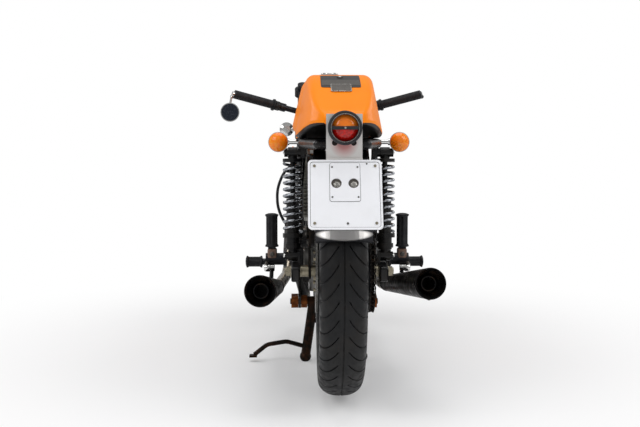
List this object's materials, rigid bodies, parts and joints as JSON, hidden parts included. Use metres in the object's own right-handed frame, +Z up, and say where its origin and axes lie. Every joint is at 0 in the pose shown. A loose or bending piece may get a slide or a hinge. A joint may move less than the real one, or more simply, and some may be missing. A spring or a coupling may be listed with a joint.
{
  "type": "cafe racer motorcycle",
  "caption": "Cafe racer motorcycle with spoked wheels, tail hump, low clip-on bars and megaphone silencers, parked on its centre stand.",
  "frame": {"origin": "point where the front tyre touches the floor", "axes": "+X to the rider's right, +Y forward along the wheelbase, +Z up"},
  "size_m": [0.7811, 2.1633, 0.937],
  "materials": {
    "black_enamel": "gloss black enamel",
    "bare_forging": "dark forged steel with light rust",
    "plated_axle": "zinc plated steel",
    "damper_black": "satin black",
    "spring_chrome": "chromed wire",
    "chain_steel": "oiled steel",
    "caliper_alloy": "dark anodised casting",
    "hose_rubber": "matt black rubber",
    "brushed_stainless": "brushed stainless sheet",
    "engine_casting": "dull cast aluminium",
    "finned_alloy": "bead blasted aluminium",
    "air_box_plastic": "matt black plastic",
    "header_chrome": "heat tinted chrome",
    "silencer_black": "semi gloss black heat paint",
    "orange_paint": "gloss orange paint",
    "orange_shell": "gloss orange paint on a moulding",
    "cap_chrome": "chromed",
    "seat_leather": "black grained cover",
    "plate_white": "white painted aluminium",
    "lamp_grey": "dark grey moulding",
    "lens_red": "red and amber lens",
    "lens_amber": "amber lens",
    "hanger_alloy": "dull alloy",
    "peg_rubber": "ribbed black rubber",
    "yoke_alloy": "dark anodised alloy",
    "fork_dark": "dark fork legs",
    "lamp_glass": "clear glass",
    "clock_black": "black instrument cups",
    "mirror_black": "black shell",
    "mirror_face": "silvered glass",
    "tyre_rubber": "black treaded rubber",
    "wheel_alloy": "dark rims and hubs with steel spokes",
    "disc_steel": "drilled stainless"
  },
  "bodies": {
    "frame": {"frame": "black_enamel", "seat_rails": "black_enamel", "swingarm": "black_enamel", "rear_axle": "plated_axle", "shock_dampers": "damper_black", "shock_springs": "spring_chrome", "chain": "chain_steel", "chain_guard": "black_enamel", "rear_caliper": "caliper_alloy", "rear_brake_hose": "hose_rubber", "rear_mudguard": "brushed_stainless", "stand_brackets": "bare_forging", "crankcase": "engine_casting", "cylinders": "finned_alloy", "cylinder_head": "finned_alloy", "carburettors": "engine_casting", "air_box": "air_box_plastic", "header_pipes": "header_chrome", "silencers": "silencer_black", "fuel_tank": "orange_paint", "filler_cap": "cap_chrome", "seat_cowl": "orange_shell", "seat_pad": "seat_leather", "side_covers": "orange_paint", "number_plate": "plate_white", "lamp_bracket": "brushed_stainless", "tail_lamp": "lamp_grey", "tail_lenses": "lens_red", "rear_indicators": "plated_axle", "rear_indicator_lenses": "lens_amber", "footrests": "hanger_alloy", "peg_rubbers": "peg_rubber"},
    "steering": {"yokes": "yoke_alloy", "fork_legs": "fork_dark", "front_axle": "plated_axle", "front_calipers": "caliper_alloy", "front_mudguard": "brushed_stainless", "headlamp": "black_enamel", "headlamp_glass": "lamp_glass", "clocks": "clock_black", "clip_ons": "yoke_alloy", "grips": "peg_rubber", "mirror": "mirror_black", "mirror_glass": "mirror_face", "front_indicators": "plated_axle", "front_indicator_lenses": "lens_amber"},
    "front_wheel": {"front_tyre": "tyre_rubber", "front_wheel": "wheel_alloy", "front_discs": "disc_steel"},
    "rear_wheel": {"rear_tyre": "tyre_rubber", "rear_wheel": "wheel_alloy", "rear_disc": "disc_steel", "sprocket": "chain_steel"},
    "centre_stand": {"centre_stand": "bare_forging"}
  },
  "joints": [
    {"name": "steering_turn", "type": "hinge", "parent": "frame", "child": "steering", "pos_m": [0, -0.0459, 0.2936], "axis": [0, -0.4695, 0.8829], "range_deg": [-28, 28]},
    {"name": "front_wheel_spin", "type": "hinge", "parent": "steering", "child": "front_wheel", "pos_m": [0, 0, 0.318], "axis": [1, 0, 0], "continuous": true},
    {"name": "rear_wheel_spin", "type": "hinge", "parent": "frame", "child": "rear_wheel", "pos_m": [0, -1.46, 0.348], "axis": [1, 0, 0], "continuous": true},
    {"name": "stand_fold", "type": "hinge", "parent": "frame", "child": "centre_stand", "pos_m": [0, -1.058, 0.195], "axis": [-1, 0, 0], "range_deg": [0, 80]}
  ]
}
